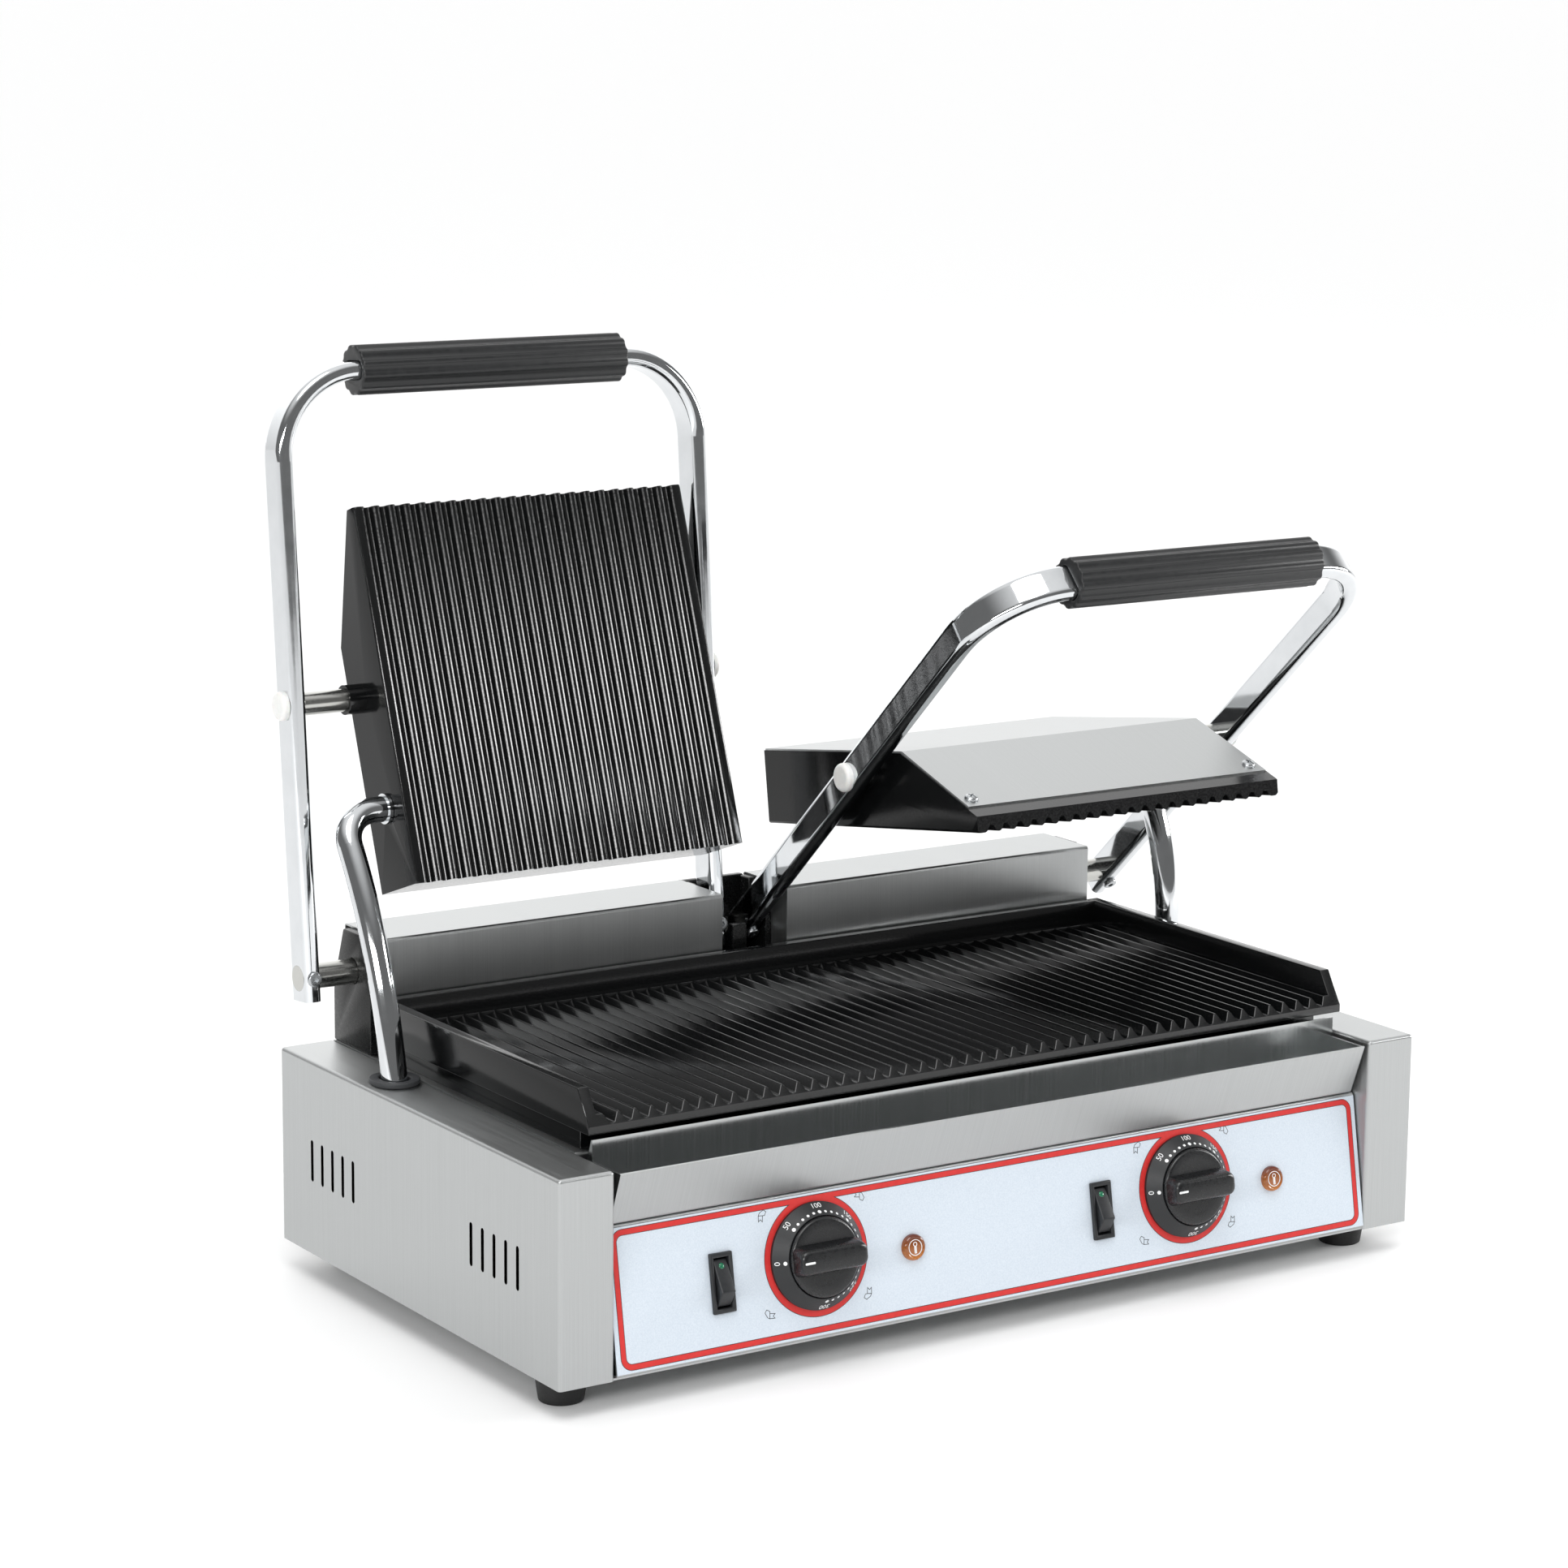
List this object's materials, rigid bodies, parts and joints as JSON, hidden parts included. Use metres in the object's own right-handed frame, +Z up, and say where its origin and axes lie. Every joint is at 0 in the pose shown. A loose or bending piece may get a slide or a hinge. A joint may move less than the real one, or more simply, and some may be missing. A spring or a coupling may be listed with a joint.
{
  "type": "double contact grill",
  "caption": "Countertop contact grill of stainless sheet: a wide ribbed lower plate, a pair of hinged lids with self-levelling ribbed plates, dial thermostats and a drip tray.",
  "frame": {"origin": "on the worktop under the middle of the machine's box, as pictured", "axes": "+X to the right seen from the front, +Y from the front to the back, +Z up"},
  "size_m": [0.578, 0.347, 0.5228],
  "materials": {
    "stainless_sheet": "brushed stainless sheet",
    "panel_film": "printed polyester film, silver with red and black marks",
    "cast_iron_plate": "black enamelled cast iron",
    "bracket_casting": "black painted casting",
    "gland_plastic": "black nylon",
    "foot_rubber": "black rubber",
    "dial_plastic": "black plastic with white print",
    "thermostat_body": "moulded switch body",
    "knob_plastic": "black moulded plastic with a white pointer",
    "switch_plastic": "black moulded plastic with a green lens",
    "lamp_lens": "clear amber plastic",
    "heater_sheath": "steel tube",
    "pin_steel": "plated steel",
    "screw_steel": "plated steel",
    "chrome_bar": "chromed steel",
    "grip_plastic": "black moulded plastic, fluted",
    "cap_plastic": "white plastic",
    "grommet_rubber": "grey rubber"
  },
  "bodies": {
    "base": {"base_pan": "stainless_sheet", "centre_hinge_bracket": "bracket_casting", "chassis_deck": "stainless_sheet", "control_panel": "stainless_sheet", "cord_gland": "gland_plastic", "left_dial_plate": "dial_plastic", "left_front_foot": "foot_rubber", "left_grommet": "grommet_rubber", "left_hinge_bracket": "bracket_casting", "left_lamp": "lamp_lens", "left_lower_heater": "heater_sheath", "left_rear_foot": "foot_rubber", "left_side_cover": "stainless_sheet", "left_spring_cover": "stainless_sheet", "left_switch_housing": "switch_plastic", "left_thermostat": "thermostat_body", "lower_plate": "cast_iron_plate", "panel_overlay": "panel_film", "right_dial_plate": "dial_plastic", "right_front_foot": "foot_rubber", "right_grommet": "grommet_rubber", "right_hinge_bracket": "bracket_casting", "right_lamp": "lamp_lens", "right_lower_heater": "heater_sheath", "right_rear_foot": "foot_rubber", "right_side_cover": "stainless_sheet", "right_spring_cover": "stainless_sheet", "right_switch_housing": "switch_plastic", "right_thermostat": "thermostat_body"},
    "drip_tray": {"drip_tray": "stainless_sheet"},
    "left_lid": {"left_handle_bar": "chrome_bar", "left_grip": "grip_plastic", "left_hinge_shaft": "pin_steel", "left_outer_pivot_pin": "pin_steel", "left_inner_pivot_pin": "pin_steel", "left_outer_cap": "cap_plastic", "left_inner_cap": "cap_plastic", "left_set_screws": "screw_steel"},
    "left_plate": {"left_upper_plate": "cast_iron_plate", "left_upper_cover": "stainless_sheet", "left_upper_heater": "heater_sheath", "left_cover_screws": "screw_steel"},
    "left_conduit": {"left_conduit": "chrome_bar"},
    "left_knob": {"left_knob": "knob_plastic"},
    "left_rocker": {"left_rocker": "switch_plastic"},
    "right_lid": {"right_handle_bar": "chrome_bar", "right_grip": "grip_plastic", "right_hinge_shaft": "pin_steel", "right_outer_pivot_pin": "pin_steel", "right_inner_pivot_pin": "pin_steel", "right_outer_cap": "cap_plastic", "right_inner_cap": "cap_plastic", "right_set_screws": "screw_steel"},
    "right_plate": {"right_upper_plate": "cast_iron_plate", "right_upper_cover": "stainless_sheet", "right_upper_heater": "heater_sheath", "right_cover_screws": "screw_steel"},
    "right_conduit": {"right_conduit": "chrome_bar"},
    "right_knob": {"right_knob": "knob_plastic"},
    "right_rocker": {"right_rocker": "switch_plastic"}
  },
  "joints": [
    {"name": "drip_tray_slide", "type": "slide", "parent": "base", "child": "drip_tray", "axis": [0, -1, 0], "range_m": [0, 0.08]},
    {"name": "left_lid_hinge", "type": "hinge", "parent": "base", "child": "left_lid", "pos_m": [-0.14605, 0.13, 0.1738], "axis": [-1, 0, 0], "range_deg": [-91.48, 0]},
    {"name": "left_plate_swivel", "type": "hinge", "parent": "left_lid", "child": "left_plate", "pos_m": [-0.1305, 0.14333, 0.32622], "axis": [-1, 0, 0], "range_deg": [-17.97, 0.05]},
    {"name": "left_conduit_swivel", "type": "hinge", "parent": "left_plate", "child": "left_conduit", "pos_m": [-0.2375, 0.1121, 0.26883], "axis": [-1, 0, 0], "range_deg": [-0.05, 63.71]},
    {"name": "left_knob_turn", "type": "hinge", "parent": "base", "child": "left_knob", "pos_m": [-0.12435, -0.15504, 0.0625], "axis": [0, 0.9854, -0.1702], "range_deg": [0, 270]},
    {"name": "left_rocker_press", "type": "hinge", "parent": "base", "child": "left_rocker", "pos_m": [-0.18425, -0.15397, 0.05749], "axis": [1, 0, 0], "range_deg": [0, 26]},
    {"name": "right_lid_hinge", "type": "hinge", "parent": "base", "child": "right_lid", "pos_m": [0.14605, 0.13, 0.1738], "axis": [-1, 0, 0], "range_deg": [-39.48, 19]},
    {"name": "right_plate_swivel", "type": "hinge", "parent": "right_lid", "child": "right_plate", "pos_m": [0.1305, 0.0181, 0.27815], "axis": [-1, 0, 0], "range_deg": [-14.96, 31.03]},
    {"name": "right_conduit_swivel", "type": "hinge", "parent": "right_plate", "child": "right_conduit", "pos_m": [0.2375, 0.08036, 0.25833], "axis": [-1, 0, 0], "range_deg": [-29.06, 14.01]},
    {"name": "right_knob_turn", "type": "hinge", "parent": "base", "child": "right_knob", "pos_m": [0.12435, -0.15504, 0.0625], "axis": [0, 0.9854, -0.1702], "range_deg": [0, 270]},
    {"name": "right_rocker_press", "type": "hinge", "parent": "base", "child": "right_rocker", "pos_m": [0.06445, -0.15397, 0.05749], "axis": [1, 0, 0], "range_deg": [0, 26]}
  ],
  "couplings": [
    {"joint": "left_plate_swivel", "follows": "left_lid_hinge", "ratio": 0.1959},
    {"joint": "left_conduit_swivel", "follows": "left_lid_hinge", "ratio": -0.6959},
    {"joint": "right_plate_swivel", "follows": "right_lid_hinge", "ratio": -0.7847},
    {"joint": "right_conduit_swivel", "follows": "right_lid_hinge", "ratio": 0.7347}
  ]
}
